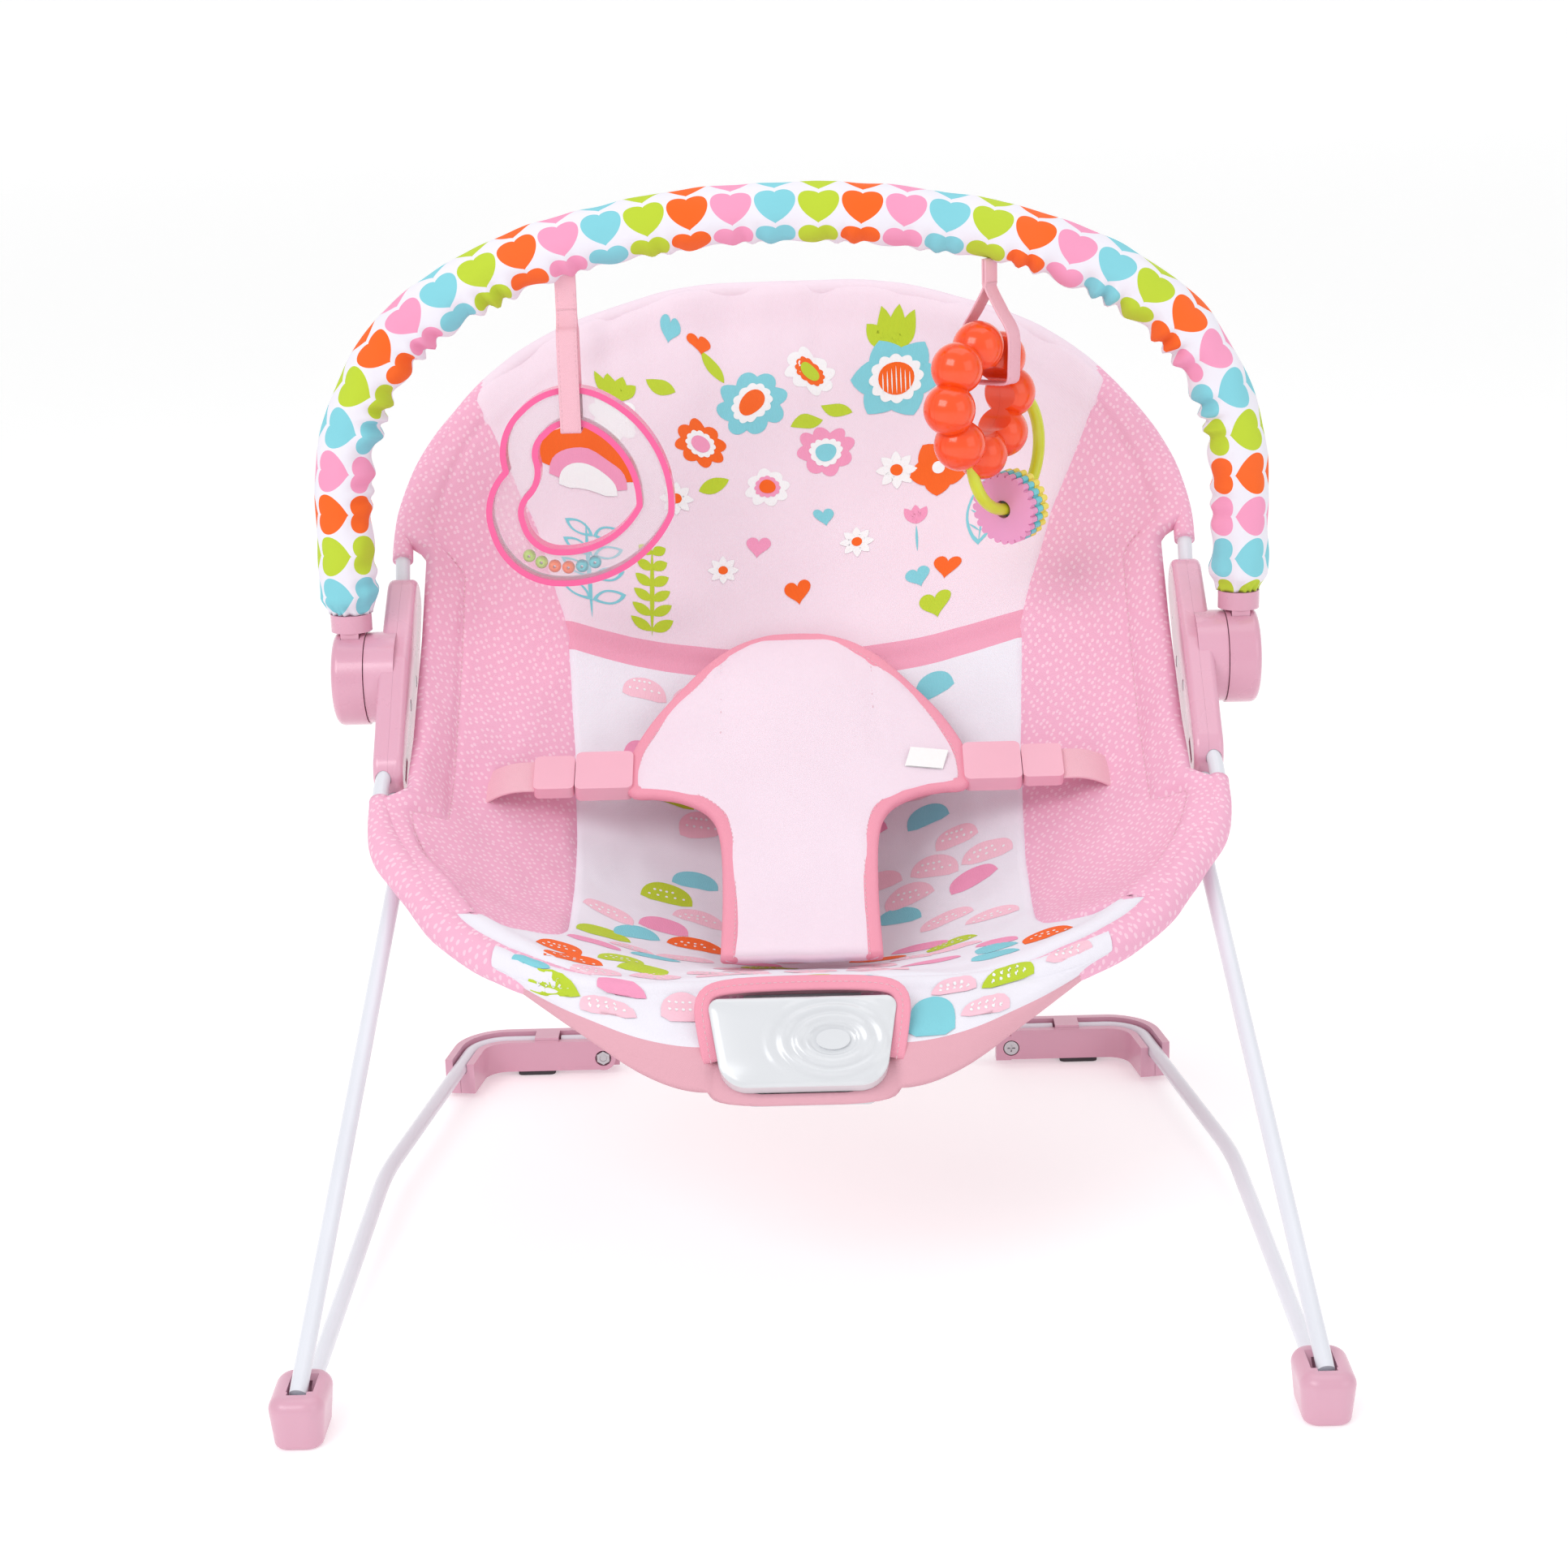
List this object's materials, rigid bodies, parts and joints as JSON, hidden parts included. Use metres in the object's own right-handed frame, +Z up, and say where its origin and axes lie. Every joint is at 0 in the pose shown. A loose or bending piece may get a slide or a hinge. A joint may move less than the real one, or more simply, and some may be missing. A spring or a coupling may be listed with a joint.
{
  "type": "bouncer seat",
  "caption": "Padded cloth seat slung on a springy rod frame, with a T-shaped restraint, a vibration unit, and an arched toy bar carrying a heart rattle and a flower ring with discs.",
  "frame": {"origin": "on the floor, at the centre of the footprint", "axes": "+X to the seat's left-hand side as its occupant sits, which is the right of a front view; -Y to the front; +Z up"},
  "size_m": [0.507, 0.5552, 0.5213],
  "materials": {
    "white_rod": "smooth white powder coat",
    "foot_pink": "moulded, semi-gloss",
    "hub_pink": "moulded, glossy",
    "socket_pink": "moulded, glossy",
    "rubber": "matt",
    "steel": "zinc plated",
    "seat_cloth": "quilted cotton, printed",
    "side_cloth": "quilted cotton, printed",
    "heart_cloth": "cotton jersey, printed",
    "webbing": "woven tape",
    "buckle_plastic": "moulded, matt",
    "white_plastic": "moulded, glossy",
    "grey_plastic": "moulded, semi-gloss",
    "battery_jacket": "printed jacket",
    "board_green": "laminate",
    "light_lens": "dark lens",
    "clear_plastic": "clear moulded plastic",
    "rim_pink": "moulded, glossy",
    "bead_lime": "beads in three colours",
    "ring_orange": "moulded, glossy",
    "hoop_lime": "moulded, glossy",
    "gear_pink": "moulded, satin",
    "gear_aqua": "moulded, satin",
    "gear_yellow": "moulded, satin"
  },
  "bodies": {
    "base": {"base_wire_left": "white_rod", "base_wire_right": "white_rod", "front_foot_left": "foot_pink", "front_foot_right": "foot_pink", "rear_cross_tube": "white_rod", "rear_bracket_right_front": "foot_pink", "rear_bracket_right_rear": "foot_pink", "rear_bracket_left_front": "foot_pink", "rear_bracket_left_rear": "foot_pink", "rear_foot_pads": "rubber", "bracket_bolts": "steel", "bracket_nuts": "steel"},
    "seat_frame": {"leg_wire_left": "white_rod", "leg_wire_right": "white_rod", "front_frame_tube": "white_rod", "back_frame_tube": "white_rod", "hub_right_inner": "hub_pink", "hub_right_outer": "hub_pink", "hub_left_inner": "hub_pink", "hub_left_outer": "hub_pink", "hub_screws": "steel", "seat_front_panel": "seat_cloth", "seat_centre_panel": "seat_cloth", "seat_side_right": "side_cloth", "seat_side_left": "side_cloth", "restraint_pad": "side_cloth", "buckle_sockets": "buckle_plastic", "buckle_plugs": "buckle_plastic", "waist_strap_left": "webbing", "waist_strap_right": "webbing", "vib_case_front": "white_plastic", "vib_case_back": "grey_plastic", "vib_battery": "battery_jacket", "battery_contacts": "steel", "vib_motor": "steel", "vib_circuit_board": "board_green", "vib_case_screws": "steel", "status_light": "light_lens"},
    "toy_bar_sockets": {"toy_bar_socket_right": "socket_pink", "toy_bar_socket_left": "socket_pink"},
    "toy_bar": {"toy_bar_plugs": "socket_pink", "toy_bar_core": "white_plastic", "toy_bar_cover": "heart_cloth"},
    "left_strap": {"toy_strap_left": "webbing"},
    "heart_rattle": {"rattle_shell_front": "clear_plastic", "rattle_shell_back": "clear_plastic", "rattle_rims": "rim_pink"},
    "beads": {"rattle_beads": "bead_lime"},
    "right_strap": {"toy_strap_right": "webbing"},
    "flower_ring": {"flower_ring_front": "ring_orange", "flower_ring_back": "ring_orange", "green_hoop": "hoop_lime"},
    "pink_disc": {"gear_pink": "gear_pink"},
    "aqua_disc": {"gear_blue": "gear_aqua"},
    "yellow_disc": {"gear_yellow": "gear_yellow"},
    "button": {"vib_button": "white_plastic"},
    "eccentric": {"vib_eccentric": "steel"},
    "door": {"battery_door": "grey_plastic", "battery_door_screw": "steel"}
  },
  "joints": [
    {"name": "seat_bounce", "type": "hinge", "parent": "base", "child": "seat_frame", "pos_m": [0, -0.26125, 0.0165], "axis": [1, 0, 0], "range_deg": [-6, 3], "stiffness_Nm_per_rad": 175, "springref_deg": 2.17},
    {"name": "toy_bar_pivot", "type": "hinge", "parent": "seat_frame", "child": "toy_bar_sockets", "pos_m": [0, 0.08675, 0.265], "axis": [1, 0, 0], "range_deg": [-30, 35]},
    {"name": "toy_bar_lift", "type": "slide", "parent": "toy_bar_sockets", "child": "toy_bar", "axis": [0, 0, 1], "range_m": [0, 0.03]},
    {"name": "left_strap_swing", "type": "hinge", "parent": "toy_bar", "child": "left_strap", "pos_m": [-0.1145, 0.08675, 0.4686], "axis": [1, 0, 0], "range_deg": [-12, 12]},
    {"name": "heart_swing", "type": "hinge", "parent": "left_strap", "child": "heart_rattle", "pos_m": [-0.1145, 0.08675, 0.3964], "axis": [0, 1, 0], "range_deg": [-20, 20]},
    {"name": "bead_roll", "type": "hinge", "parent": "heart_rattle", "child": "beads", "pos_m": [-0.119, 0.08675, 0.36], "axis": [0, 1, 0], "range_deg": [-10, 10]},
    {"name": "right_strap_swing", "type": "hinge", "parent": "toy_bar", "child": "right_strap", "pos_m": [0.1059, 0.08675, 0.4705], "axis": [1, 0, 0], "range_deg": [-12, 12]},
    {"name": "ring_swing", "type": "hinge", "parent": "right_strap", "child": "flower_ring", "pos_m": [0.1059, 0.0833, 0.4158], "axis": [0.788, -0.6157, 0], "range_deg": [-14, 14]},
    {"name": "pink_disc_turn", "type": "hinge", "parent": "flower_ring", "child": "pink_disc", "pos_m": [0.11395, 0.09361, 0.34666], "axis": [0.6142, 0.7861, 0.0698], "continuous": true},
    {"name": "aqua_disc_turn", "type": "hinge", "parent": "flower_ring", "child": "aqua_disc", "pos_m": [0.11721, 0.09777, 0.34703], "axis": [0.6142, 0.7861, 0.0698], "continuous": true},
    {"name": "yellow_disc_turn", "type": "hinge", "parent": "flower_ring", "child": "yellow_disc", "pos_m": [0.12046, 0.10194, 0.3474], "axis": [0.6142, 0.7861, 0.0698], "continuous": true},
    {"name": "button_press", "type": "slide", "parent": "seat_frame", "child": "button", "axis": [0, 0.766, -0.6428], "range_m": [0, 0.0015], "stiffness_N_per_m": 400, "springref_m": -0.0005},
    {"name": "motor_spin", "type": "hinge", "parent": "seat_frame", "child": "eccentric", "pos_m": [-0.003, -0.13648, 0.13857], "axis": [1, 0, 0], "continuous": true},
    {"name": "battery_door_lift", "type": "slide", "parent": "seat_frame", "child": "door", "axis": [0, 0.766, -0.6428], "range_m": [0, 0.012]}
  ]
}
